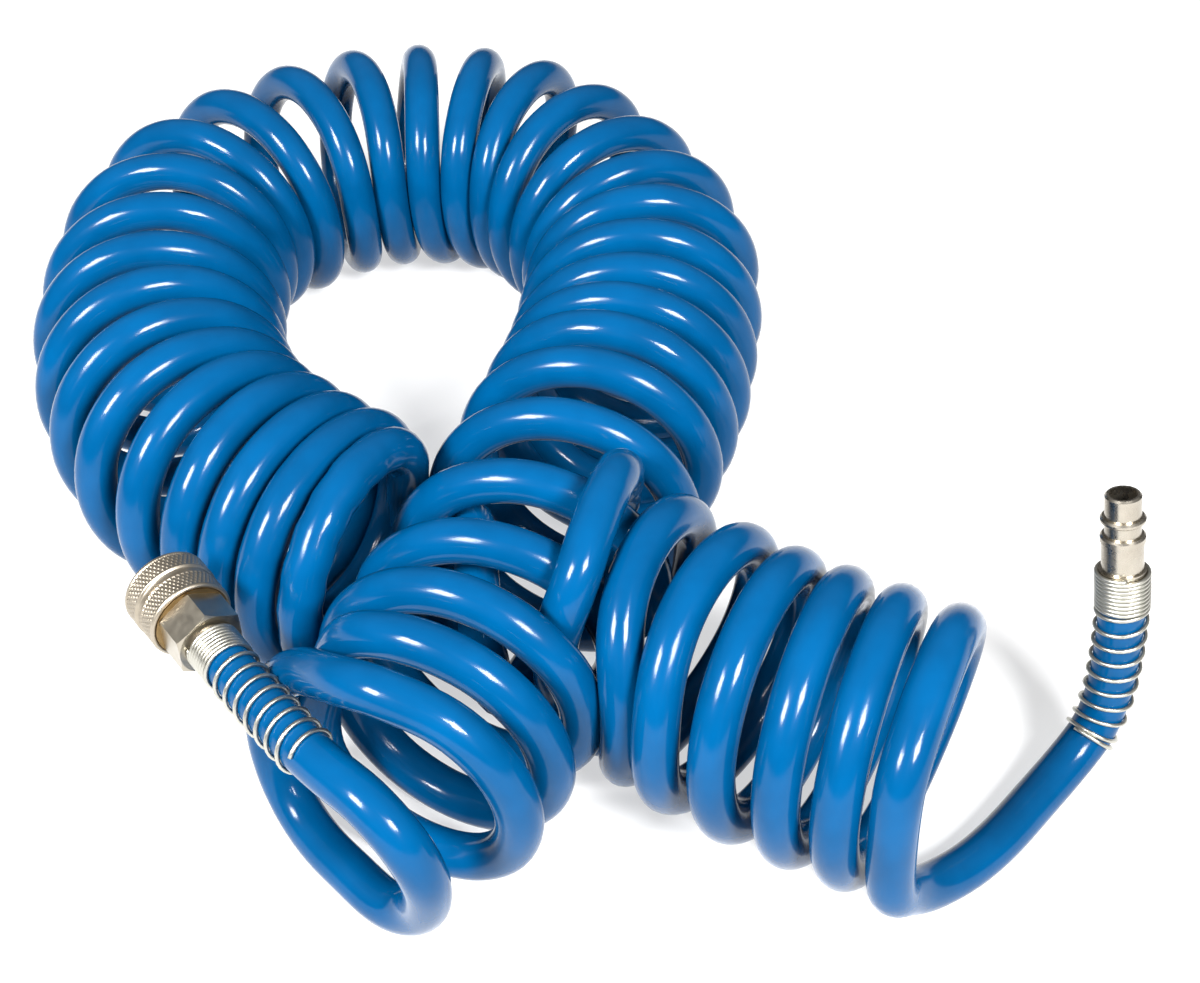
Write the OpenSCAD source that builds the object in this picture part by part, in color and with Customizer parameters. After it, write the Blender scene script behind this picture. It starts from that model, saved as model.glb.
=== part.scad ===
// Coiled compressed-air hose, laid in a loop that crosses itself.
// One end carries a quick coupler, the other a plug, each behind a coil-spring bend guard.
// Millimetres, +Z up, the floor is z = 0, origin under the middle of the whole object.

/* [Hose] */
// outer diameter of the hose tube
hose_d = 12; // [11.8:0.1:12]
// diameter of one turn of the coil, through the middle of the tube
turn_d = 66; // [64:0.5:66]

/* [Bend guards] */
// thickness of the guard spring's wire
guard_wire_d = 1.1; // [0.9:0.1:1.2]
// number of turns wound close, next to the coupler
coupler_close_turns = 8; // [6:1:10]
// number of turns wound close, next to the plug
plug_close_turns = 10; // [6:1:10]
// number of open turns over the hose
guard_open_turns = 8; // [5:1:8]
// distance between open turns
guard_pitch = 5; // [4:0.25:5]

/* [Plug] */
// diameter of the plug's nose
nose_d = 9.2; // [9:0.05:9.3]
// diameter of the plug's two ridges
ridge_d = 11.4; // [11:0.1:11.5]
// diameter of the air way at the plug's tip
plug_bore_d = 7; // [6:0.25:7.25]

/* [Coupler] */
// outer diameter of the sliding sleeve
sleeve_d = 23; // [22.6:0.1:24]
// length of the sliding sleeve
sleeve_l = 15; // [15:0.1:15.5]
// how far the sleeve slides back to let the plug go
sleeve_travel = 3.2; // [3:0.1:3.2]
// size of the hexagon across its flats
hex_af = 17; // [16:0.25:17]
// diameter of a locking ball
ball_d = 3; // [2.8:0.05:3]

/* [Placement] */
// height of the coupler's axis above the floor
coupler_z = 54; // [54:0.5:55]

/* [Hidden] */

// Colours
HOSE_BLUE = [0.02, 0.36, 0.68];
NICKEL = [0.78, 0.74, 0.68];
ZINC = [0.82, 0.82, 0.78];
BRASS = [0.76, 0.62, 0.38];
STEEL = [0.7, 0.7, 0.72];
SEAL_BLACK = [0.06, 0.06, 0.06];
NYLON = [0.9, 0.88, 0.8];

// ---- The coil's route ----
// The coil's own axis runs through these points, three turns apart, at the height of one radius.
GUIDE = [
    [-33, -148], [-10, -98], [15, -26], [28, 21], [29, 78], [-8, 132], [-64, 139], [-116, 98],
    [-121, 32], [-101, -21], [-66, -55], [-34, -76], [15, -89], [58, -118], [98, -139], [136, -160]
];
TURNS_PER_POINT = 3;
hose_r = hose_d / 2;
turn_r = turn_d / 2;
coil_r = turn_r + hose_r;
// turn numbers where the coil starts and ends as a true helix
COIL_FIRST = 0;
COIL_LAST = 42.32;
// turn numbers between which each fat solid runs
START_TURN = 0.5;
CROSS_A_END = 7.1;
RIGHT_END = 14;
BACK_END = 21;
CROSS_B_START = 29.2;
CROSS_B_END = 39.6;
END_TURN = 41.6;
// how far each tail runs on into the coil's solid, in turns
TAIL_LAP = 0.25;
RING_STEP = 0.7;
FAT_SIDES = 24;

// The free stretches of hose: from the coupler to the coil, and from the coil to the plug.
TAIL_COUPLER = [
    [-78, -117.7, 54], [-68.6, -130.2, 54], [-59.3, -142, 55], [-51.4, -152, 56.2], [-44, -160, 57.2],
    [-37, -166.5, 57.3], [-31, -171.5, 54.3], [-26.5, -174.2, 48.5], [-23.5, -174.5, 39.5], [-23, -172, 28.5],
    [-25, -168, 16.5], [-30.5, -163.5, 8.5], [-37.5, -158, 6.3], [-45, -150.5, 6.3], [-52.5, -142.5, 6.3],
    [-58.5, -135, 7.5], [-63, -129, 11.5], [-66, -124.5, 18.5], [-67, -121, 27.5], [-64.5, -119, 38],
    [-58, -121.5, 48.5], [-53, -127, 56.5], [-48.5, -134, 63], [-41.5, -142.5, 69.5]
];
TAIL_PLUG = [
    [94, -161.5, 14], [102, -155.5, 8.5], [112, -148, 6.3], [122, -139, 6.3], [134, -126, 7.3],
    [143, -117, 10.5], [149.5, -111, 16.5], [152.5, -107, 26], [153, -104, 40], [152, -102, 54],
    [150.8, -99.9, 63.1]
];
TAIL_SIDES = 10;
TURN_STEPS = 12;
// a horizontal direction that neither tail ever points along
SIDE_COUPLER = [0.5, 0.85, 0];
SIDE_PLUG = [1, -1, 0];

// ---- Coupler: lengths along its axis from the mouth, towards the hose ----
MOUTH_XY = [-95.5, -94.5];
coupler_mouth = [MOUTH_XY[0], MOUTH_XY[1], coupler_z];
COUPLER_YAW = -53;
barrel_r = 7.8;
clear = 0.1;
mouth_r = ridge_d / 2 + clear;
seat_bore_r = nose_d / 2 + clear;
SLEEVE_START = 1.2;
BALL_AT = 5.6;
BALL_COUNT = 6;
BALL_REST_R = 6.4;
BALL_CLEAR = 0.05;
BALL_LIP = 0.1;
BALL_LIP_END = 0.4;
ball_ratio = 0.3;
MOUTH_DEPTH = 9.4;
SEAL_START = 11.2;
SEAL_END = 13.2;
SEAL_GROOVE_R = 6.32;
SEAL_SECTION_R = 0.92;
STEM_FRONT = 13.5;
SEAT_AT = 17;
CHAMBER_R = 6.2;
HEX_START = 16.4;
HEX_END = 26.4;
THREAD_START = 22.6;
THREAD_R = 6.6;
GASKET_END = 23.4;
SPRING_SEAT = 27;
HOSE_END = 29;
BARB_END = 43;
neck_r = hose_r;
barb_r = 4.2;
BARB_FIRST = 3;
BARB_STEP = 4;
BARB_COUNT = 3;
BARB_DROP = 0.4;
BARB_NOSE = 0.5;
SPRING_BORE_R = 4.9;
GASKET_BORE_R = 5;
bore_r = 2.9;
RING_FRONT = 1.3;
RING_BACK = 2.2;
RING_R = 9.3;
RING_GROOVE_R = 7.2;
RING_GAP = 2;
CONE_END = 5.7;
LAND_END = 8;
land_r = BALL_REST_R + ball_d / 2 + clear;
groove_r = land_r + ball_ratio * sleeve_travel;
SLEEVE_REAR_R = 10.05;
SLEEVE_LIP_R = 9.5;
SLEEVE_EDGE = 0.8;
WAIST_START = 6;
WAIST_END = 9.5;
WAIST_DEPTH = 0.7;
WASHER_T = 0.9;
SLEEVE_SPRING_WIRE = 1;
SLEEVE_SPRING_TURNS = 3;
sleeve_spring_r = (barrel_r + SLEEVE_REAR_R) / 2;
stem_r = 4.4;
STEM_BORE_R = 3;
disc_r = 5.9;
VALVE_SEAL_T = 1.2;
DISC_T = 1.6;
VALVE_SPRING_R = 4.2;
VALVE_SPRING_WIRE = 0.8;
VALVE_SPRING_TURNS = 4;
GUIDE_PIN_R = 2.6;
GUIDE_PIN_L = 2;
WINDOW_W = 3;
WINDOW_H = 2.4;
WINDOW_UP = 1.2;

// ---- Plug: lengths along its axis, up from the first open turn of its guard ----
PLUG_SEAT = [152, -102, 54];
PLUG_LEAN = 15;
PLUG_YAW = 120;
PLUG_TIP = 33;
NOSE_START = 26.8;
RIDGE_1 = 25.2;
RIDGE_2_END = 21.6;
RIDGE_2 = 20.2;
PLUG_BODY_START = 11.6;
PLUG_HOSE_END = 9.4;
PLUG_BARB_END = -5;
PLUG_BORE_STEP = 21;
plug_body_r = 5.35;
CHAMFER = 0.5;

GUARD_SIDES = 6;
GUARD_SEGMENTS = 12;
GUARD_GAP = 0.05;
// a spring's wire is drawn a little thin, so that close turns stay apart
WIRE_FILL = 0.98;
GUARD_PLUG_FIRST = 10.95;
guard_r = hose_r + GUARD_GAP + guard_wire_d / 2;
GUARD_FIRST = HEX_END + GUARD_GAP + guard_wire_d / 2;
ROUND = 72;

// ---- Curves ----
function unit(v) = v / norm(v);

// a smooth curve through the points p; s = 2.5 is half way from p[2] to p[3]
function curve(p, s) =
    let (n = len(p))
    let (i = min(max(floor(s), 0), n - 2))
    let (f = s - i)
    let (a = i > 0 ? p[i - 1] : 2 * p[0] - p[1])
    let (b = p[i])
    let (c = p[i + 1])
    let (d = i + 2 < n ? p[i + 2] : 2 * p[n - 1] - p[n - 2])
    0.5 * (2 * b + (c - a) * f + (2 * a - 5 * b + 4 * c - d) * f * f
        + (3 * b - a - 3 * c + d) * f * f * f);

// the coil's axis and its direction at a turn number
function guide_at(turn) =
    let (p = curve(GUIDE, turn / TURNS_PER_POINT))
    [p[0], p[1], coil_r];
function guide_dir(turn) = unit(guide_at(turn + 0.05) - guide_at(turn - 0.05));

// the middle of the tube at a turn number: whole numbers are at the top of a turn
function turn_at(turn) =
    let (d = guide_dir(turn))
    let (side = [d[1], -d[0], 0])
    guide_at(turn) + turn_r * (cos(360 * turn) * [0, 0, 1] + sin(360 * turn) * side);

// a ring of points round a centre, square to dir
function ring_at(centre, dir, ref, radius, sides) =
    let (t = unit(dir))
    let (n = unit(ref - (ref * t) * t))
    let (b = cross(t, n))
    [for (k = [0:sides - 1]) centre + radius * (cos(360 * k / sides) * n + sin(360 * k / sides) * b)];

function path_dir(path, i) = path[min(i + 1, len(path) - 1)] - path[max(i - 1, 0)];

// a closed tube through a list of rings
module skin(rings) {
    sides = len(rings[0]);
    last = len(rings) - 1;
    points = [for (r = rings) each r];
    walls = [for (i = [0:last - 1], k = [0:sides - 1])
        let (a = i * sides + k)
        let (b = i * sides + (k + 1) % sides)
        each [[a, b, b + sides], [a, b + sides, a + sides]]];
    front = [for (k = [0:sides - 1]) k];
    back = [for (k = [sides - 1:-1:0]) last * sides + k];
    polyhedron(points = points, faces = concat([for (w = walls) [w[2], w[1], w[0]]], [front], [back]));
}

module tube_along(path, ref, radius, sides) {
    skin([for (i = [0:len(path) - 1]) ring_at(path[i], path_dir(path, i), ref, radius, sides)]);
}

// the coil's outer shape between two turn numbers
module fat_tube(first, last) {
    steps = max(1, round((last - first) / RING_STEP));
    skin([for (i = [0:steps])
        let (turn = first + (last - first) * i / steps)
        ring_at(guide_at(turn), guide_dir(turn), [0, 0, 1], coil_r, FAT_SIDES)]);
}

// ---- Hose ----
module hose_coil_crossing() {
    color(HOSE_BLUE) union() {
        fat_tube(START_TURN, CROSS_A_END);
        fat_tube(CROSS_B_START, CROSS_B_END);
    }
}

module hose_coil_right() {
    color(HOSE_BLUE) fat_tube(CROSS_A_END, RIGHT_END);
}

module hose_coil_back() {
    color(HOSE_BLUE) fat_tube(RIGHT_END, BACK_END);
}

module hose_coil_left() {
    color(HOSE_BLUE) fat_tube(BACK_END, CROSS_B_START);
}

module hose_coil_end() {
    color(HOSE_BLUE) fat_tube(CROSS_B_END, END_TURN);
}

// the coupler's tail runs on round the first turn, a little way into the coil's solid
tail_coupler_points = concat(
    TAIL_COUPLER,
    [for (k = [0:(START_TURN + TAIL_LAP - COIL_FIRST) * TURN_STEPS]) turn_at(COIL_FIRST + k / TURN_STEPS)]
);
// the plug's tail starts a little way inside the coil's solid
tail_plug_points = concat(
    [for (k = [floor((COIL_LAST + TAIL_LAP - END_TURN) * TURN_STEPS):-1:0])
        turn_at(COIL_LAST - k / TURN_STEPS)],
    TAIL_PLUG
);
tail_coupler_path = [for (s = [0:0.5:len(tail_coupler_points) - 1]) curve(tail_coupler_points, s)];
tail_plug_path = [for (s = [0:0.5:len(tail_plug_points) - 1]) curve(tail_plug_points, s)];

module hose_tail_coupler() {
    color(HOSE_BLUE) tube_along(tail_coupler_path, SIDE_COUPLER, hose_r, TAIL_SIDES);
}

module hose_tail_plug() {
    color(HOSE_BLUE) tube_along(tail_plug_path, SIDE_PLUG, hose_r, TAIL_SIDES);
}

// ---- Bend guards: a wire wound round the hose, first close, then open ----
function running_length(path) =
    [for (i = 0, s = 0; i < len(path); s = s + norm(path[min(i + 1, len(path) - 1)] - path[i]), i = i + 1) s];

// how far along the hose the wire has got after a number of turns
function guard_way(turn, close_turns) =
    min(turn, close_turns) * guard_wire_d + max(0, turn - close_turns) * guard_pitch;

module bend_guard(points, ref, close_turns) {
    fine = [for (s = [0:0.1:len(points) - 1]) curve(points, s)];
    along = running_length(fine);
    place = [for (i = [0:len(fine) - 1]) [along[i], i / 10]];
    turns = close_turns + guard_open_turns;
    centres = [for (i = [0:turns * GUARD_SEGMENTS])
        lookup(guard_way(i / GUARD_SEGMENTS, close_turns), place)];
    wire = [for (i = [0:len(centres) - 1])
        let (s = centres[i])
        let (angle = 360 * i / GUARD_SEGMENTS)
        let (t = unit(curve(points, s + 0.02) - curve(points, max(0, s - 0.02))))
        let (n = unit(ref - (ref * t) * t))
        curve(points, s) + guard_r * (cos(angle) * n + sin(angle) * cross(t, n))];
    skin([for (i = [0:len(wire) - 1])
        let (out = wire[i] - curve(points, centres[i]))
        ring_at(wire[i], path_dir(wire, i), out, guard_wire_d / 2 * WIRE_FILL, GUARD_SIDES)]);
}

coupler_dir = [cos(COUPLER_YAW), sin(COUPLER_YAW), 0];
plug_dir = [sin(PLUG_LEAN) * cos(PLUG_YAW), sin(PLUG_LEAN) * sin(PLUG_YAW), cos(PLUG_LEAN)];

module coupler_spring_guard() {
    points = concat([coupler_mouth + GUARD_FIRST * coupler_dir],
        [for (i = [1:6]) TAIL_COUPLER[i]]);
    color(ZINC) bend_guard(points, [0, 0, 1], coupler_close_turns);
}

module plug_spring_guard() {
    last = len(TAIL_PLUG) - 1;
    points = concat([PLUG_SEAT + GUARD_PLUG_FIRST * plug_dir],
        [for (i = [1:6]) TAIL_PLUG[last - i]]);
    color(ZINC) bend_guard(points, SIDE_PLUG, plug_close_turns);
}

// ---- Fittings ----
module on_coupler() {
    translate(coupler_mouth) rotate([0, 0, COUPLER_YAW]) rotate([0, 90, 0]) children();
}

module on_plug() {
    translate(PLUG_SEAT) rotate([0, 0, PLUG_YAW]) rotate([0, PLUG_LEAN, 0]) children();
}

// a turned piece: outline of [radius, height] pairs
module turned(outline) {
    rotate_extrude($fn = ROUND) polygon(outline);
}

// a plain ring between two heights
module ring(inner, outer, low, high) {
    translate([0, 0, low]) difference() {
        cylinder(r = outer, h = high - low, $fn = ROUND);
        translate([0, 0, -1]) cylinder(r = inner, h = high - low + 2, $fn = ROUND);
    }
}

// the outline of a hose tail's barbs, from its tip towards the fitting
function barbs(tip, way) = concat([[barb_r - BARB_NOSE, tip]], [
    for (i = [0:BARB_COUNT - 1])
        let (at = tip + way * (BARB_FIRST + i * BARB_STEP))
        each [[barb_r, at], [barb_r - BARB_DROP, at]]
]);
function backwards(list) = [for (i = [len(list) - 1:-1:0]) list[i]];

module plug_body() {
    nose_r = nose_d / 2;
    ridge_r = ridge_d / 2;
    tip_bore_r = plug_bore_d / 2;
    color(NICKEL) on_plug() turned([
        [bore_r, PLUG_BARB_END], each barbs(PLUG_BARB_END, 1), [barb_r - BARB_DROP, PLUG_HOSE_END],
        [neck_r, PLUG_HOSE_END], [neck_r, PLUG_BODY_START], [plug_body_r, PLUG_BODY_START],
        [plug_body_r, RIDGE_2 - CHAMFER], [ridge_r, RIDGE_2 - CHAMFER], [ridge_r, RIDGE_2_END - CHAMFER],
        [ridge_r - CHAMFER, RIDGE_2_END], [nose_r, RIDGE_2_END], [nose_r, RIDGE_1],
        [ridge_r - CHAMFER, RIDGE_1], [ridge_r, RIDGE_1 + CHAMFER], [ridge_r, NOSE_START - CHAMFER],
        [ridge_r - CHAMFER, NOSE_START], [nose_r, NOSE_START], [nose_r, PLUG_TIP - CHAMFER],
        [nose_r - CHAMFER, PLUG_TIP], [tip_bore_r, PLUG_TIP], [tip_bore_r, PLUG_BORE_STEP],
        [bore_r, PLUG_BORE_STEP]
    ]);
}

module coupler_body() {
    color(NICKEL) on_coupler() difference() {
        union() {
            cylinder(r = barrel_r, h = HEX_START + 1, $fn = ROUND);
            translate([0, 0, HEX_START]) intersection() {
                cylinder(d = hex_af / cos(30), h = HEX_END - HEX_START, $fn = 6);
                turned([
                    [0, 0], [hex_af / 2 + CHAMFER, 0], [hex_af / 2 + 3 * CHAMFER, CHAMFER],
                    [hex_af / 2 + 3 * CHAMFER, HEX_END - HEX_START - CHAMFER],
                    [hex_af / 2, HEX_END - HEX_START], [0, HEX_END - HEX_START]
                ]);
            }
        }
        translate([0, 0, -1]) cylinder(r = mouth_r, h = MOUTH_DEPTH + 1, $fn = ROUND);
        translate([0, 0, MOUTH_DEPTH - 1])
            cylinder(r = seat_bore_r, h = SEAT_AT - MOUTH_DEPTH + 2, $fn = ROUND);
        translate([0, 0, SEAL_START]) cylinder(r = SEAL_GROOVE_R, h = SEAL_END - SEAL_START, $fn = ROUND);
        translate([0, 0, SEAT_AT]) cylinder(r = CHAMBER_R, h = HEX_END - SEAT_AT, $fn = ROUND);
        translate([0, 0, THREAD_START]) cylinder(r = THREAD_R, h = HEX_END - THREAD_START + 1, $fn = ROUND);
        difference() {
            translate([0, 0, RING_FRONT]) cylinder(r = barrel_r + 1, h = RING_BACK - RING_FRONT, $fn = ROUND);
            cylinder(r = RING_GROOVE_R, h = SLEEVE_START + 3, $fn = ROUND);
        }
        for (i = [0:BALL_COUNT - 1]) {
            ball_hole(i);
        }
    }
}

// a hole that narrows at the bore, so that the ball can't fall through
module ball_hole(i) {
    hole_r = ball_d / 2 + BALL_CLEAR;
    lip_r = hole_r - BALL_LIP;
    rotate([0, 0, 360 * i / BALL_COUNT]) translate([0, 0, BALL_AT]) rotate([0, 90, 0]) turned([
        [0, mouth_r - 1], [lip_r, mouth_r - 1], [lip_r, mouth_r + 0.02], [hole_r, mouth_r + BALL_LIP_END],
        [hole_r, barrel_r + 1], [0, barrel_r + 1]
    ]);
}

module coupler_tail() {
    color(NICKEL) on_coupler() turned([
        [SPRING_BORE_R, GASKET_END], [THREAD_R, GASKET_END], [THREAD_R, HEX_END], [neck_r, HEX_END],
        [neck_r, HOSE_END], [barb_r - BARB_DROP, HOSE_END], each backwards(barbs(BARB_END, -1)),
        [bore_r, BARB_END], [bore_r, SPRING_SEAT], [SPRING_BORE_R, SPRING_SEAT]
    ]);
}

module tail_gasket() {
    color(NYLON) on_coupler() ring(GASKET_BORE_R, THREAD_R, THREAD_START, GASKET_END);
}

module coupler_sleeve() {
    sleeve_r = sleeve_d / 2;
    sleeve_end = SLEEVE_START + sleeve_l;
    color(NICKEL) on_coupler() turned([
        [SLEEVE_LIP_R, SLEEVE_START], [sleeve_r - SLEEVE_EDGE, SLEEVE_START],
        [sleeve_r, SLEEVE_START + SLEEVE_EDGE], [sleeve_r, SLEEVE_START + WAIST_START],
        [sleeve_r - WAIST_DEPTH, SLEEVE_START + WAIST_START + WAIST_DEPTH],
        [sleeve_r - WAIST_DEPTH, SLEEVE_START + WAIST_END - WAIST_DEPTH],
        [sleeve_r, SLEEVE_START + WAIST_END], [sleeve_r, sleeve_end - SLEEVE_EDGE],
        [sleeve_r - SLEEVE_EDGE, sleeve_end], [SLEEVE_REAR_R, sleeve_end],
        [SLEEVE_REAR_R, LAND_END], [land_r, LAND_END], [land_r, CONE_END],
        [groove_r, CONE_END - sleeve_travel], [groove_r, RING_BACK + clear],
        [SLEEVE_LIP_R, RING_BACK + clear]
    ]);
}

module sleeve_retaining_ring() {
    color(STEEL) on_coupler() difference() {
        ring(RING_GROOVE_R, RING_R, RING_FRONT, RING_BACK);
        translate([0, -RING_GAP / 2, 0]) cube([RING_R + 1, RING_GAP, RING_BACK + 1]);
    }
}

module spring_washer() {
    color(BRASS) on_coupler() ring(barrel_r, SLEEVE_REAR_R - clear, HEX_START - WASHER_T, HEX_START);
}

module plug_seal() {
    middle = (SEAL_START + SEAL_END) / 2;
    color(SEAL_BLACK) on_coupler() translate([0, 0, middle]) rotate_extrude($fn = ROUND)
        translate([SEAL_GROOVE_R - SEAL_SECTION_R, 0]) circle(r = SEAL_SECTION_R, $fn = 24);
}

// a plain compression spring, standing on z = low
module wire_spring(radius, wire, low, high, turns) {
    steps = 16;
    rise = high - low - wire;
    path = [for (i = [0:turns * steps])
        let (angle = 360 * i / steps)
        [radius * cos(angle), radius * sin(angle), low + wire / 2 + rise * i / (turns * steps)]];
    skin([for (i = [0:len(path) - 1])
        ring_at(path[i], path_dir(path, i), [path[i][0], path[i][1], 0], wire / 2 * WIRE_FILL, GUARD_SIDES)]);
}

module sleeve_spring() {
    color(STEEL) on_coupler()
        wire_spring(sleeve_spring_r, SLEEVE_SPRING_WIRE, LAND_END, HEX_START - WASHER_T, SLEEVE_SPRING_TURNS);
}

module valve_poppet() {
    disc_at = SEAT_AT + VALVE_SEAL_T;
    color(BRASS) on_coupler() difference() {
        turned([
            [STEM_BORE_R, STEM_FRONT], [stem_r, STEM_FRONT], [stem_r, disc_at], [disc_r, disc_at],
            [disc_r, disc_at + DISC_T], [GUIDE_PIN_R, disc_at + DISC_T],
            [GUIDE_PIN_R, disc_at + DISC_T + GUIDE_PIN_L], [0, disc_at + DISC_T + GUIDE_PIN_L],
            [0, disc_at], [STEM_BORE_R, disc_at]
        ]);
        for (i = [0:1]) {
            rotate([0, 0, 90 * i]) translate([-disc_r, -WINDOW_W / 2, STEM_FRONT + WINDOW_UP])
                cube([2 * disc_r, WINDOW_W, WINDOW_H]);
        }
    }
}

module valve_seal() {
    color(SEAL_BLACK) on_coupler() ring(stem_r, disc_r - 0.1, SEAT_AT, SEAT_AT + VALVE_SEAL_T);
}

module valve_spring() {
    color(STEEL) on_coupler() wire_spring(VALVE_SPRING_R, VALVE_SPRING_WIRE,
        SEAT_AT + VALVE_SEAL_T + DISC_T, SPRING_SEAT, VALVE_SPRING_TURNS);
}

module lock_ball(i) {
    color(STEEL) on_coupler() rotate([0, 0, 360 * i / BALL_COUNT]) translate([BALL_REST_R, 0, BALL_AT])
        sphere(d = ball_d, $fn = 36);
}

hose_coil_crossing();
hose_coil_right();
hose_coil_back();
hose_coil_left();
hose_coil_end();
hose_tail_coupler();
hose_tail_plug();
coupler_spring_guard();
plug_spring_guard();
plug_body();
coupler_body();
coupler_tail();
tail_gasket();
coupler_sleeve();
sleeve_retaining_ring();
sleeve_spring();
spring_washer();
plug_seal();
valve_poppet();
valve_seal();
valve_spring();
lock_ball(0);  // lock_ball_1
lock_ball(1);  // lock_ball_2
lock_ball(2);  // lock_ball_3
lock_ball(3);  // lock_ball_4
lock_ball(4);  // lock_ball_5
lock_ball(5);  // lock_ball_6
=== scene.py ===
import math

import bpy
import numpy as np
from mathutils import Matrix, Vector


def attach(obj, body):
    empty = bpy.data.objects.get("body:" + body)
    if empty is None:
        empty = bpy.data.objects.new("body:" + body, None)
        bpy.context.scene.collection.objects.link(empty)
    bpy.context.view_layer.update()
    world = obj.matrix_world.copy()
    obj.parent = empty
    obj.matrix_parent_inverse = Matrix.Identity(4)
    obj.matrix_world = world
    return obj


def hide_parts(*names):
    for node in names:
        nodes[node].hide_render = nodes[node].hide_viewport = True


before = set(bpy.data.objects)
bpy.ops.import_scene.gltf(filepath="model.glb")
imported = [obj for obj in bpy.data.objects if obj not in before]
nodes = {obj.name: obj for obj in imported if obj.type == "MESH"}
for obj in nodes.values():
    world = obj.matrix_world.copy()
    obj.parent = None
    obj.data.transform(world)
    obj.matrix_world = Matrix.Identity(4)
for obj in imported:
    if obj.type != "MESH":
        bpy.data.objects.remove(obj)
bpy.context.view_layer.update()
scene = bpy.context.scene

# ---- Sizes, in metres ----
HOSE_D = 0.012
HOSE_R = HOSE_D / 2
TURN_R = 0.033
COIL_R = TURN_R + HOSE_R
TURNS_PER_POINT = 3
COIL_FIRST = 0
COIL_LAST = 42.32
TURN_STEPS = 12

# The coil's axis on the floor, three turns apart.
GUIDE = np.array([
    (-0.033, -0.148), (-0.010, -0.098), (0.015, -0.026), (0.028, 0.021),
    (0.029, 0.078), (-0.008, 0.132), (-0.064, 0.139), (-0.116, 0.098),
    (-0.121, 0.032), (-0.101, -0.021), (-0.066, -0.055), (-0.034, -0.076),
    (0.015, -0.089), (0.058, -0.118), (0.098, -0.139), (0.136, -0.160),
])

# The free stretches: from the coupler to the coil, and from the coil to the plug.
TAIL_COUPLER = [
    (-0.078, -0.1177, 0.054), (-0.0686, -0.1302, 0.054), (-0.0593, -0.142, 0.055),
    (-0.0514, -0.152, 0.0562), (-0.044, -0.160, 0.0572), (-0.037, -0.1665, 0.0573),
    (-0.031, -0.1715, 0.0543), (-0.0265, -0.1742, 0.0485), (-0.0235, -0.1745, 0.0395),
    (-0.023, -0.172, 0.0285), (-0.025, -0.168, 0.0165), (-0.0305, -0.1635, 0.0085),
    (-0.0375, -0.158, 0.0063), (-0.045, -0.1505, 0.0063), (-0.0525, -0.1425, 0.0063),
    (-0.0585, -0.135, 0.0075), (-0.063, -0.129, 0.0115), (-0.066, -0.1245, 0.0185),
    (-0.067, -0.121, 0.0275), (-0.0645, -0.119, 0.038), (-0.058, -0.1215, 0.0485),
    (-0.053, -0.127, 0.0565), (-0.0485, -0.134, 0.063), (-0.0415, -0.1425, 0.0695),
]
TAIL_PLUG = [
    (0.094, -0.1615, 0.014), (0.102, -0.1555, 0.0085), (0.112, -0.148, 0.0063),
    (0.122, -0.139, 0.0063), (0.134, -0.126, 0.0073), (0.143, -0.117, 0.0105),
    (0.1495, -0.111, 0.0165), (0.1525, -0.107, 0.026), (0.153, -0.104, 0.040),
    (0.152, -0.102, 0.054), (0.1508, -0.0999, 0.0631),
]

# Where the fittings' own axes start and point.
MOUTH = Vector((-0.0955, -0.0945, 0.054))
COUPLER_YAW = math.radians(-53)
PLUG_SEAT = Vector((0.152, -0.102, 0.054))
PLUG_YAW = math.radians(120)
PLUG_LEAN = math.radians(15)
TO_COUPLER = (
    Matrix.Translation(MOUTH)
    @ Matrix.Rotation(COUPLER_YAW, 4, "Z")
    @ Matrix.Rotation(math.pi / 2, 4, "Y")
)
TO_PLUG = (
    Matrix.Translation(PLUG_SEAT)
    @ Matrix.Rotation(PLUG_YAW, 4, "Z")
    @ Matrix.Rotation(PLUG_LEAN, 4, "Y")
)

# Bend guards
WIRE_R = 0.00055
GUARD_R = HOSE_R + 0.00005 + WIRE_R
GUARD_PITCH = 0.005
OPEN_TURNS = 8
GUARD_SEGMENTS = 28
COUPLER_GUARD_START = 0.027
COUPLER_CLOSE_TURNS = 8
COUPLER_END_TURNS = 0
PLUG_GUARD_START = 0.01095
PLUG_CLOSE_TURNS = 10
PLUG_END_TURNS = 1.2


# ---- Curves ----
def curve(points, at):
    """Points on a smooth curve through the given ones; 2.5 is half way from point 2 to point 3."""
    points = np.asarray(points, float)
    at = np.asarray(at, float)
    whole = np.vstack([2 * points[0] - points[1], points, 2 * points[-1] - points[-2]])
    i = np.clip(np.floor(at).astype(int), 0, len(points) - 2)
    f = (at - i)[..., None]
    a, b, c, d = (whole[i + k] for k in range(4))
    return 0.5 * (
        2 * b + (c - a) * f + (2 * a - 5 * b + 4 * c - d) * f**2
        + (3 * b - a - 3 * c + d) * f**3
    )


def along(line):
    """The running length at each point of a line."""
    return np.concatenate([[0], np.cumsum(np.linalg.norm(np.diff(line, axis=0), axis=1))])


def evenly(points, step):
    """The smooth curve through the points, cut into even steps."""
    fine = curve(points, np.linspace(0, len(points) - 1, 12 * (len(points) - 1) + 1))
    length = along(fine)
    at = np.linspace(0, length[-1], int(round(length[-1] / step)) + 1)
    return np.column_stack([np.interp(at, length, fine[:, k]) for k in range(3)])


def directions(line):
    ways = np.gradient(line, axis=0)
    return ways / np.linalg.norm(ways, axis=1)[:, None]


# ---- The hose's route ----
# Where the coil crosses itself, three turns of its far side are pulled out into one smaller turn,
# which passes through the near side, and the next turn rides over the near side's shoulder.
PULLED = (32.5, 35.5)
PULLED_TURNS = 1
PULLED_R = 0.019
SHOULDER = (35.2, 36.8)
SHOULDER_LIFT = 0.006
SHOULDER_SHRINK = 0.0035


def swell(value, low, high):
    """Nought outside low to high, and a smooth hump of one between them."""
    return np.sin(math.pi * np.clip((value - low) / (high - low), 0, 1)) ** 2


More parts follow.
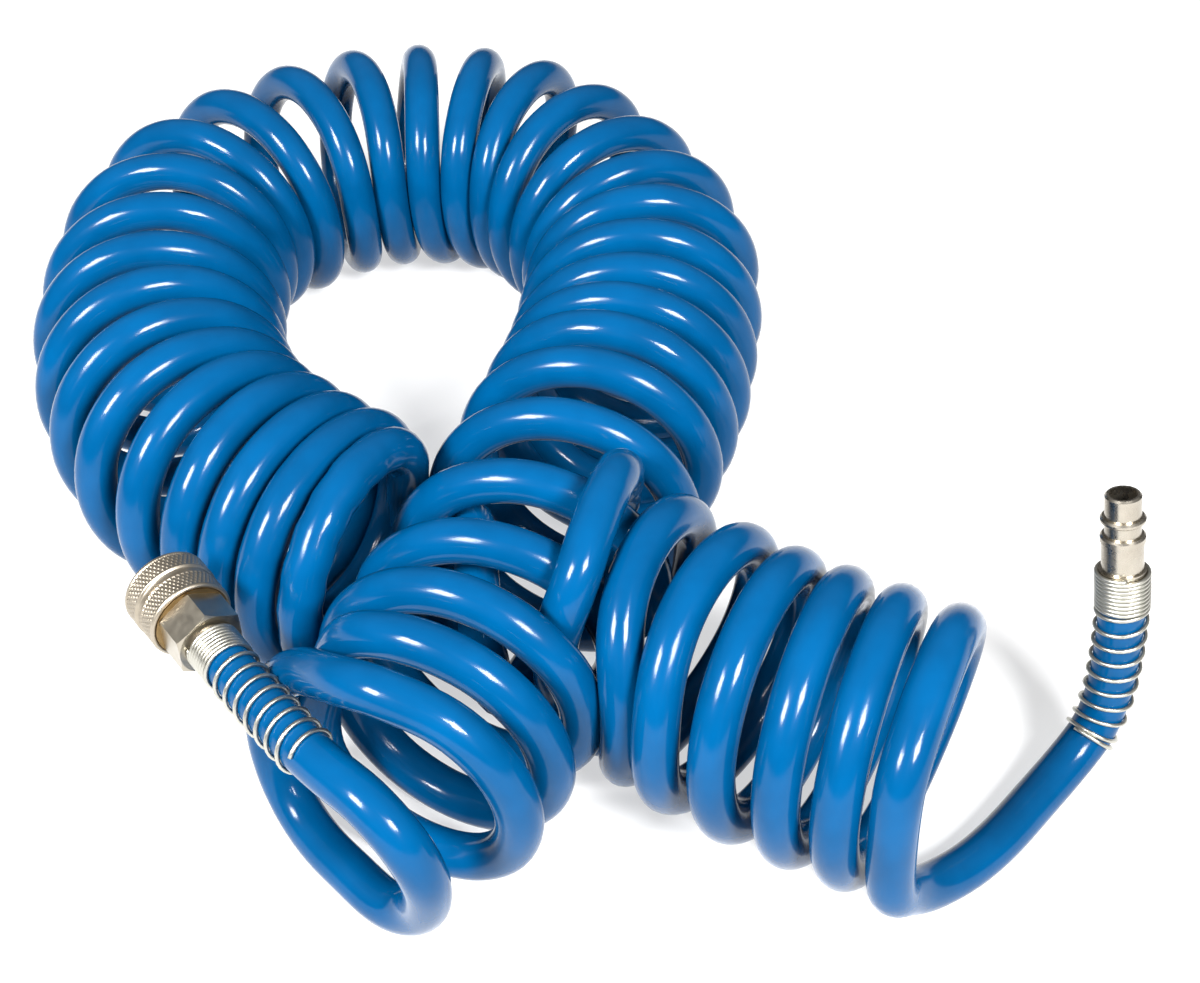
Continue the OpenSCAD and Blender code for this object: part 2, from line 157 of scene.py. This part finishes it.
def helix():
    """The coil: a helix wound round the guide line."""
    turns = np.arange(COIL_FIRST, COIL_LAST + 1e-6, 1 / TURN_STEPS)
    turns = np.append(turns[:-1], COIL_LAST)
    middle = curve(GUIDE, turns / TURNS_PER_POINT)
    way = curve(GUIDE, (turns + 0.05) / TURNS_PER_POINT) - curve(GUIDE, (turns - 0.05) / TURNS_PER_POINT)
    way /= np.linalg.norm(way, axis=1)[:, None]
    low, high = PULLED
    wound = turns - (np.clip(turns, low, high) - low) * (1 - PULLED_TURNS / (high - low))
    angle = 2 * math.pi * wound
    pulled = swell(turns, low, high)
    shoulder = swell(turns, *SHOULDER)
    wide = TURN_R - (TURN_R - PULLED_R) * pulled
    tall = wide - SHOULDER_SHRINK * shoulder
    return np.column_stack([
        middle[:, 0] + wide * np.sin(angle) * way[:, 1],
        middle[:, 1] - wide * np.sin(angle) * way[:, 0],
        COIL_R + SHOULDER_LIFT * shoulder + tall * np.cos(angle),
    ])


# How the turns settle: the lengths, in metres, are measured along the hose.
SETTLE_STEP = 0.005
SETTLE_ROUNDS = 260
HELD_AT_START = 0.12
HELD_AT_END = 0.16
GUARDED = 0.05
TOUCH_GAP = 0.0001
FIRM_UP_TO = 2.4
FIRM = 0.12
PAIRS_EVERY = 8
PAIR_REACH = HOSE_D + 0.004
PAIR_SKIP = 6
PAIR_CHUNK = 400
BEND_ROUNDS = 3
BEND_SHARE = 0.25
PULL_FIRM = 0.03
PULL_FREE = 0.004
TIGHTEST = 0.017
EASE_ROUNDS = 60
EASE_SHARE = 0.3
LINE_STEP = 0.003


def touching(line, reach, skip):
    """Pairs of points that are near each other, but not next to each other along the hose."""
    first, second = [], []
    for low in range(0, len(line), PAIR_CHUNK):
        gap = np.linalg.norm(line[low:low + PAIR_CHUNK, None] - line[None], axis=2)
        i, j = np.nonzero(gap < reach)
        keep = j > i + low + skip
        first.append(i[keep] + low)
        second.append(j[keep])
    return np.concatenate(first), np.concatenate(second)


def spread(off, share):
    """Moves that straighten: each inner point goes with its offset, and its neighbours half as far back."""
    move = np.zeros((len(off) + 2, 3))
    move[1:-1] += off * share
    move[:-2] -= off * (share / 2)
    move[2:] -= off * (share / 2)
    return move


def settle(line):
    """Where turns cut through each other, they slide apart until they lie side by side."""
    drawn = line.copy()
    line = line.copy()
    step = np.linalg.norm(np.diff(drawn, axis=0), axis=1)
    bend = drawn[2:] - 2 * drawn[1:-1] + drawn[:-2]
    length = along(drawn)
    held = (length < HELD_AT_START) | (length > length[-1] - HELD_AT_END)
    free = np.where(held, 0.0, np.where(length < FIRM_UP_TO, FIRM, 1.0))[:, None]
    guarded = (length < GUARDED) | (length > length[-1] - GUARDED)
    radius = np.where(guarded, GUARD_R + WIRE_R, HOSE_R) + TOUCH_GAP
    for lap in range(SETTLE_ROUNDS):
        if lap % PAIRS_EVERY == 0:
            i, j = touching(line, PAIR_REACH, PAIR_SKIP)
        gap = line[i] - line[j]
        far = np.linalg.norm(gap, axis=1)
        short = radius[i] + radius[j] - far
        near = short > 0
        i_near, j_near = i[near], j[near]
        share = free[i_near] / np.maximum(free[i_near] + free[j_near], 1e-6)
        push = (short[near] / np.maximum(far[near], 1e-6))[:, None] * gap[near]
        move = np.zeros_like(line)
        count = np.zeros((len(line), 1))
        np.add.at(move, i_near, push * share)
        np.add.at(move, j_near, -push * (1 - share))
        np.add.at(count, i_near, 1)
        np.add.at(count, j_near, 1)
        line += move / np.maximum(count, 1) * (free > 0)
        for _ in range(BEND_ROUNDS):
            off = (line[2:] - 2 * line[1:-1] + line[:-2]) - bend
            line += spread(off, BEND_SHARE) * (free > 0)
        for start in (0, 1):
            a = np.arange(start, len(line) - 1, 2)
            edge = line[a + 1] - line[a]
            now = np.linalg.norm(edge, axis=1)
            fix = ((now - step[a]) / now)[:, None] * edge * 0.5
            line[a] += fix * (free[a] > 0)
            line[a + 1] -= fix * (free[a + 1] > 0)
        line += (drawn - line) * np.where(free > FIRM, PULL_FREE, PULL_FIRM) * (free > 0)
        line[:, 2] = np.maximum(line[:, 2], HOSE_R)
    return eased(line, free > 0)


def eased(line, free):
    """Bends tighter than the hose can take, left where turns were pushed apart, are opened up."""
    line = line.copy()
    most = SETTLE_STEP**2 / TIGHTEST
    for _ in range(EASE_ROUNDS):
        off = line[2:] - 2 * line[1:-1] + line[:-2]
        size = np.linalg.norm(off, axis=1)[:, None]
        off *= np.maximum(size - most, 0) / np.maximum(size, 1e-9)
        line += spread(off, EASE_SHARE) * free
    return line


def hose_line():
    drawn = np.vstack([TAIL_COUPLER, helix(), TAIL_PLUG])
    line = settle(evenly(drawn, SETTLE_STEP))
    line = evenly(line, LINE_STEP)
    line[:, 2] = np.maximum(line[:, 2], HOSE_R)
    return line


# ---- Meshes ----
# A direction that no end of the hose points in.
NEAR_UP = (0.3, 0.2, 1)


def make_piece(name, points, faces, material, body="hose"):
    mesh = bpy.data.meshes.new(name)
    mesh.from_pydata([tuple(p) for p in points], [], faces)
    mesh.validate()
    mesh.shade_smooth()
    piece = bpy.data.objects.new(name, mesh)
    scene.collection.objects.link(piece)
    mesh.materials.append(material)
    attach(piece, body)
    return piece


def carried_frames(line):
    """Two directions square to the line at each point, carried along it without twisting."""
    ways = directions(line)
    side = np.cross(ways[0], NEAR_UP)
    side /= np.linalg.norm(side)
    sides = []
    for way in ways:
        side = side - side.dot(way) * way
        side /= np.linalg.norm(side)
        sides.append(side)
    sides = np.array(sides)
    return sides, np.cross(ways, sides)


def tube(line, radius, sides):
    """Points and faces of a closed round tube along a line."""
    across, up = carried_frames(line)
    angle = np.linspace(0, 2 * math.pi, sides, endpoint=False)
    ring = across[:, None] * np.cos(angle)[:, None] + up[:, None] * np.sin(angle)[:, None]
    points = (line[:, None] + ring * radius).reshape(-1, 3)
    faces = []
    for i in range(len(line) - 1):
        for k in range(sides):
            a = i * sides + k
            b = i * sides + (k + 1) % sides
            faces.append((a, b, b + sides, a + sides))
    last = (len(line) - 1) * sides
    faces.append(tuple(range(sides - 1, -1, -1)))
    faces.append(tuple(last + k for k in range(sides)))
    return points, faces, angle


def lathe(profile, place, segments=96, relief=None):
    """A closed outline of (radius, height), turned round its axis.

    relief(angle, radius, height) is added to the radius.
    """
    angle = np.linspace(0, 2 * math.pi, segments, endpoint=False)
    points = []
    for radius, height in profile:
        r = np.full(segments, radius)
        if relief is not None:
            r = r + relief(angle, radius, height)
        ring = np.column_stack([r * np.cos(angle), r * np.sin(angle), np.full(segments, height)])
        points.append(ring)
    points = np.vstack(points)
    turn = np.array(place)
    points = points @ turn[:3, :3].T + turn[:3, 3]
    count = len(profile)
    faces = []
    for i in range(count):
        for k in range(segments):
            a = i * segments + k
            b = i * segments + (k + 1) % segments
            c = ((i + 1) % count) * segments
            faces.append((a, b, c + (k + 1) % segments, c + k))
    return points, faces


# ---- Materials ----
def new_material(name):
    material = bpy.data.materials.new(name)
    material.use_nodes = True
    tree = material.node_tree
    shader = tree.nodes["Principled BSDF"]
    return material, tree, shader


def stretched(tree, vector, scale):
    mapping = tree.nodes.new("ShaderNodeMapping")
    mapping.inputs["Scale"].default_value = scale
    tree.links.new(vector, mapping.inputs["Vector"])
    return mapping.outputs["Vector"]


def noise(tree, vector, scale, detail=3):
    node = tree.nodes.new("ShaderNodeTexNoise")
    node.inputs["Scale"].default_value = scale
    node.inputs["Detail"].default_value = detail
    node.inputs["Roughness"].default_value = 0.55
    tree.links.new(vector, node.inputs["Vector"])
    return node.outputs["Fac"]


def ramp(tree, value, low, high, start, end):
    """value from low to high becomes start to end."""
    node = tree.nodes.new("ShaderNodeMapRange")
    for socket, number in zip(("From Min", "From Max", "To Min", "To Max"), (low, high, start, end)):
        node.inputs[socket].default_value = number
    tree.links.new(value, node.inputs["Value"])
    return node.outputs["Result"]


def mixed(tree, value, colour_a, colour_b):
    node = tree.nodes.new("ShaderNodeMix")
    node.data_type = "RGBA"
    node.inputs["A"].default_value = (*colour_a, 1)
    node.inputs["B"].default_value = (*colour_b, 1)
    tree.links.new(value, node.inputs["Factor"])
    return node.outputs["Result"]


def bump(tree, shader, height, strength, distance):
    node = tree.nodes.new("ShaderNodeBump")
    node.inputs["Strength"].default_value = strength
    node.inputs["Distance"].default_value = distance
    tree.links.new(height, node.inputs["Height"])
    tree.links.new(node.outputs["Normal"], shader.inputs["Normal"])


HOSE_DARK = (0.000, 0.0425, 0.122)
HOSE_LIGHT = (0.000, 0.052, 0.148)
METAL_GRAIN = 140
TURNING_LINES = 9000
TURNING_DEPTH = 0.04
PLAIN_GRAIN = 300
PLAIN_SPREAD = 0.08


def hose_material():
    """Glossy polyurethane: deep blue, with faint drag marks along the hose and small specks."""
    material, tree, shader = new_material("hose_blue")
    place = tree.nodes.new("ShaderNodeAttribute")
    place.attribute_name = "straight"
    vector = place.outputs["Vector"]
    cloudy = noise(tree, vector, 60, 3)
    colour = mixed(tree, ramp(tree, cloudy, 0.35, 0.65, 0, 1), HOSE_DARK, HOSE_LIGHT)
    tree.links.new(colour, shader.inputs["Base Color"])
    marks = noise(tree, stretched(tree, vector, (1, 1, 0.06)), 900, 2)
    tree.links.new(ramp(tree, marks, 0.35, 0.75, 0.11, 0.22), shader.inputs["Roughness"])
    fine = noise(tree, vector, 700, 2)
    bump(tree, shader, fine, 0.12, 0.0001)
    shader.inputs["IOR"].default_value = 1.52
    shader.inputs["Specular IOR Level"].default_value = 0.14
    return material


def metal_material(name, dark, light, rough, place=None):
    """Plated metal; with a place, fine turning lines run round that axis."""
    material, tree, shader = new_material(name)
    source = tree.nodes.new("ShaderNodeTexCoord")
    vector = source.outputs["Object"]
    if place is not None:
        back = place.inverted()
        mapping = tree.nodes.new("ShaderNodeMapping")
        mapping.inputs["Rotation"].default_value = back.to_euler()
        mapping.inputs["Location"].default_value = back.to_translation()
        tree.links.new(vector, mapping.inputs["Vector"])
        vector = mapping.outputs["Vector"]
    cloudy = ramp(tree, noise(tree, vector, METAL_GRAIN, 4), 0.3, 0.7, 0, 1)
    tree.links.new(mixed(tree, cloudy, dark, light), shader.inputs["Base Color"])
    worn = ramp(tree, noise(tree, vector, METAL_GRAIN * 3, 4), 0.3, 0.7, *rough)
    tree.links.new(worn, shader.inputs["Roughness"])
    cuts = noise(tree, stretched(tree, vector, (0.05, 0.05, 1)), TURNING_LINES, 2)
    bump(tree, shader, cuts, TURNING_DEPTH, 0.00005)
    shader.inputs["Metallic"].default_value = 1
    return material


def plain_material(name, dark, light, rough):
    """Rubber or plastic with a slightly uneven skin."""
    material, tree, shader = new_material(name)
    vector = tree.nodes.new("ShaderNodeTexCoord").outputs["Object"]
    cloudy = ramp(tree, noise(tree, vector, PLAIN_GRAIN, 3), 0.3, 0.7, 0, 1)
    tree.links.new(mixed(tree, cloudy, dark, light), shader.inputs["Base Color"])
    low, high = rough - PLAIN_SPREAD, rough + PLAIN_SPREAD
    worn = ramp(tree, noise(tree, vector, PLAIN_GRAIN * 4), 0.3, 0.7, low, high)
    tree.links.new(worn, shader.inputs["Roughness"])
    bump(tree, shader, noise(tree, vector, 2500, 2), 0.1, 0.00005)
    return material


HOSE_BLUE = hose_material()
NICKEL = metal_material("nickel", (0.35, 0.315, 0.255), (0.41, 0.375, 0.31), (0.28, 0.38), TO_COUPLER)
NICKEL_PLUG = metal_material("nickel_plug", (0.37, 0.335, 0.28), (0.44, 0.405, 0.345), (0.22, 0.32), TO_PLUG)
KNURL = metal_material("nickel_knurl", (0.34, 0.298, 0.235), (0.41, 0.362, 0.292), (0.36, 0.46), TO_COUPLER)
WIRE = metal_material("guard_wire", (0.42, 0.41, 0.36), (0.50, 0.49, 0.44), (0.3, 0.42))
BRASS = metal_material("brass", (0.27, 0.18, 0.08), (0.33, 0.23, 0.11), (0.3, 0.42), TO_COUPLER)
STEEL = metal_material("spring_steel", (0.30, 0.30, 0.31), (0.38, 0.38, 0.39), (0.22, 0.32))
RUBBER = plain_material("seal_rubber", (0.012, 0.012, 0.012), (0.03, 0.03, 0.03), 0.5)
NYLON = plain_material("nylon", (0.62, 0.60, 0.52), (0.74, 0.72, 0.63), 0.45)


# ---- Camera ----
def make_camera():
    """From the coupler's side, looking down at the coil by 42 degrees, with a 54 mm lens."""
    data = bpy.data.cameras.new("camera")
    data.lens = 54
    data.sensor_width = 36
    data.sensor_fit = "HORIZONTAL"
    data.clip_start = 0.01
    camera = bpy.data.objects.new("camera", data)
    camera.location = (0.018, -0.427, 0.38357)
    camera.rotation_euler = (math.radians(90 - 41.787), 0, 0)
    scene.collection.objects.link(camera)
    scene.camera = camera


make_camera()


# ---- Hose ----
HOSE_SIDES = 24
WIRE_SIDES = 10
END_PITCH = 2.4 * WIRE_R
PITCH_BLEND = 15
GUARD_LINE_POINTS = 60


def make_hose():
    line = hose_line()
    points, faces, angle = tube(line, HOSE_R, HOSE_SIDES)
    hose = make_piece("hose", points, faces, HOSE_BLUE)
    straight = hose.data.attributes.new("straight", "FLOAT_VECTOR", "POINT")
    rings = np.column_stack([
        np.tile(HOSE_R * np.cos(angle), len(line)),
        np.tile(HOSE_R * np.sin(angle), len(line)),
        np.repeat(along(line), HOSE_SIDES),
    ])
    straight.data.foreach_set("vector", rings.astype(np.float32).ravel())
    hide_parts("hose_coil_crossing", "hose_coil_right", "hose_coil_back", "hose_coil_left",
                "hose_coil_end", "hose_tail_coupler", "hose_tail_plug")
    return hose, line


def make_guard(name, line, close_turns, end_turns, node):
    """A wire wound round the hose from the fitting on: close, then open, then close again."""
    length = along(line)
    turns = np.arange(0, close_turns + OPEN_TURNS + end_turns, 1 / GUARD_SEGMENTS)
    pitch = np.where(turns < close_turns, 2 * WIRE_R, GUARD_PITCH)
    pitch = np.where(turns > close_turns + OPEN_TURNS, END_PITCH, pitch)
    blend = np.ones(PITCH_BLEND) / PITCH_BLEND
    soft = np.convolve(np.pad(pitch, PITCH_BLEND // 2, mode="edge"), blend, mode="valid")
    way = np.concatenate([[0], np.cumsum(soft[:-1] / GUARD_SEGMENTS)])
    ways = directions(line)
    middle = np.column_stack([np.interp(way, length, line[:, k]) for k in range(3)])
    axis = np.column_stack([np.interp(way, length, ways[:, k]) for k in range(3)])
    axis /= np.linalg.norm(axis, axis=1)[:, None]
    ref = np.cross(axis[0], NEAR_UP)
    side = ref - (axis @ ref)[:, None] * axis
    side /= np.linalg.norm(side, axis=1)[:, None]
    up = np.cross(axis, side)
    angle = 2 * math.pi * turns[:, None]
    wire = middle + GUARD_R * (np.cos(angle) * side + np.sin(angle) * up)
    points, faces, _ = tube(wire, WIRE_R, WIRE_SIDES)
    guard = make_piece(name, points, faces, WIRE)
    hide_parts(node)
    return guard


hose, HOSE_LINE = make_hose()
coupler_start = np.array(MOUTH + TO_COUPLER.to_3x3() @ Vector((0, 0, COUPLER_GUARD_START)))
plug_start = np.array(PLUG_SEAT + TO_PLUG.to_3x3() @ Vector((0, 0, PLUG_GUARD_START)))
coupler_guard = make_guard("coupler_guard", np.vstack([coupler_start, HOSE_LINE[:GUARD_LINE_POINTS]]),
                           COUPLER_CLOSE_TURNS, COUPLER_END_TURNS, "coupler_spring_guard")
plug_guard = make_guard("plug_guard", np.vstack([plug_start, HOSE_LINE[::-1][:GUARD_LINE_POINTS]]),
                        PLUG_CLOSE_TURNS, PLUG_END_TURNS, "plug_spring_guard")

# ---- Sleeve with knurled bands ----
SLEEVE_R = 0.0115
SLEEVE_SIDES = 448
KNURL_DEPTH = 0.00032
KNURL_TEETH = 56
KNURL_BANDS = ((0.0023, 0.0072), (0.0101, 0.0153))
KNURL_LEAN = math.radians(32)
KNURL_RUN_OUT = 0.0003
KNURL_STEP = 0.00016
OUTSIDE_FROM_R = 0.0105


def knurl(angle, radius, height):
    """Crossed grooves, only on the outside of the two bands."""
    if radius < OUTSIDE_FROM_R:
        return np.zeros_like(angle)
    depth = 0
    for low, high in KNURL_BANDS:
        edge = min(height - low, high - height)
        depth = max(depth, min(1, max(0, edge / KNURL_RUN_OUT)))
    lean = height / SLEEVE_R * math.tan(KNURL_LEAN)
    one = np.abs(((angle + lean) * KNURL_TEETH / (2 * math.pi)) % 1 - 0.5) * 2
    two = np.abs(((angle - lean) * KNURL_TEETH / (2 * math.pi)) % 1 - 0.5) * 2
    return -KNURL_DEPTH * depth * (1 - np.minimum(one, two))


def sleeve_outline():
    """The sleeve's outline, as radius and distance from the mouth, round its front, back and bore."""
    front = [(0.0095, 0.0012), (0.0106, 0.0012), (0.0111, 0.00135), (0.0114, 0.0017), (0.0115, 0.0021)]
    band = [(0.0115, h) for h in np.arange(*KNURL_BANDS[0], KNURL_STEP)]
    waist = [(0.0115, 0.0073), (0.0114, 0.0076), (0.01095, 0.0078), (0.0108, 0.0081), (0.0108, 0.0092),
             (0.01095, 0.0096), (0.01115, 0.0099)]
    rear = [(0.01125, h) for h in np.arange(*KNURL_BANDS[1], KNURL_STEP)]
    back = [(0.0112, 0.0154), (0.0111, 0.0158), (0.0107, 0.0162), (0.01025, 0.0162)]
    inside = [(0.01005, 0.0160), (0.01005, 0.008), (0.008, 0.008), (0.008, 0.0057), (0.00896, 0.0025),
              (0.00896, 0.0023), (0.0095, 0.0023)]
    return front + band + waist + rear + back + inside


def make_sleeve():
    points, faces = lathe(sleeve_outline(), TO_COUPLER, segments=SLEEVE_SIDES, relief=knurl)
    sleeve = make_piece("sleeve", points, faces, KNURL, body="sleeve")
    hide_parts("coupler_sleeve")


make_sleeve()

# ---- CAD nodes that stay, with their own materials ----
KEPT = {
    "coupler_body": NICKEL, "coupler_tail": NICKEL, "plug_body": NICKEL_PLUG,
    "sleeve_retaining_ring": STEEL, "sleeve_spring": STEEL, "valve_spring": STEEL,
    "spring_washer": BRASS, "valve_poppet": BRASS, "plug_seal": RUBBER, "valve_seal": RUBBER,
    "tail_gasket": NYLON,
}
for number in range(1, 7):
    KEPT[f"lock_ball_{number}"] = STEEL
for node, material in KEPT.items():
    nodes[node].data.materials.clear()
    nodes[node].data.materials.append(material)


# ---- Floor and light ----
BACKDROP = 0.08
CEILING = 0.35
KEY_POWER = 29
KEY_SIZE = 0.3
KEY_TARGET = Vector((0, 0, 0.03))
KEY_PLACES = {"key_left": (-0.63, -0.63, 0.80), "key_right": (0.45, -0.77, 0.80)}
FLOOR_HALF = 4
FLOOR_TONE = 0.4
FLOOR_GLOW = 0.6


def make_floor():
    mesh = bpy.data.meshes.new("floor")
    corners = [(x * FLOOR_HALF, y * FLOOR_HALF, 0) for x, y in ((-1, -1), (1, -1), (1, 1), (-1, 1))]
    mesh.from_pydata(corners, [], [(0, 1, 2, 3)])
    floor = bpy.data.objects.new("floor", mesh)
    scene.collection.objects.link(floor)
    material, _, shader = new_material("floor")
    shader.inputs["Base Color"].default_value = (FLOOR_TONE, FLOOR_TONE, FLOOR_TONE, 1)
    shader.inputs["Roughness"].default_value = 0.6
    shader.inputs["Specular IOR Level"].default_value = 0.1
    shader.inputs["Emission Color"].default_value = (1, 1, 1, 1)
    shader.inputs["Emission Strength"].default_value = FLOOR_GLOW
    mesh.materials.append(material)


def soft_box(name, place):
    data = bpy.data.lights.new(name, "AREA")
    data.shape = "RECTANGLE"
    data.size = KEY_SIZE
    data.size_y = KEY_SIZE
    data.energy = KEY_POWER
    light = bpy.data.objects.new(name, data)
    light.location = place
    light.rotation_euler = (KEY_TARGET - Vector(place)).to_track_quat("-Z", "Y").to_euler()
    scene.collection.objects.link(light)


def make_world():
    """Dim all round, so that the two soft boxes make the picture."""
    world = bpy.data.worlds.new("studio")
    world.use_nodes = True
    tree = world.node_tree
    background = tree.nodes["Background"]
    background.inputs["Color"].default_value = (1, 1, 1, 1)
    place = tree.nodes.new("ShaderNodeTexCoord")
    split = tree.nodes.new("ShaderNodeSeparateXYZ")
    tree.links.new(place.outputs["Generated"], split.inputs["Vector"])
    strength = ramp(tree, split.outputs["Z"], 0.2, 0.6, BACKDROP, CEILING)
    tree.links.new(strength, background.inputs["Strength"])
    scene.world = world


def make_light():
    make_world()
    for name, place in KEY_PLACES.items():
        soft_box(name, place)
    scene.view_settings.view_transform = "Standard"


make_floor()
make_light()
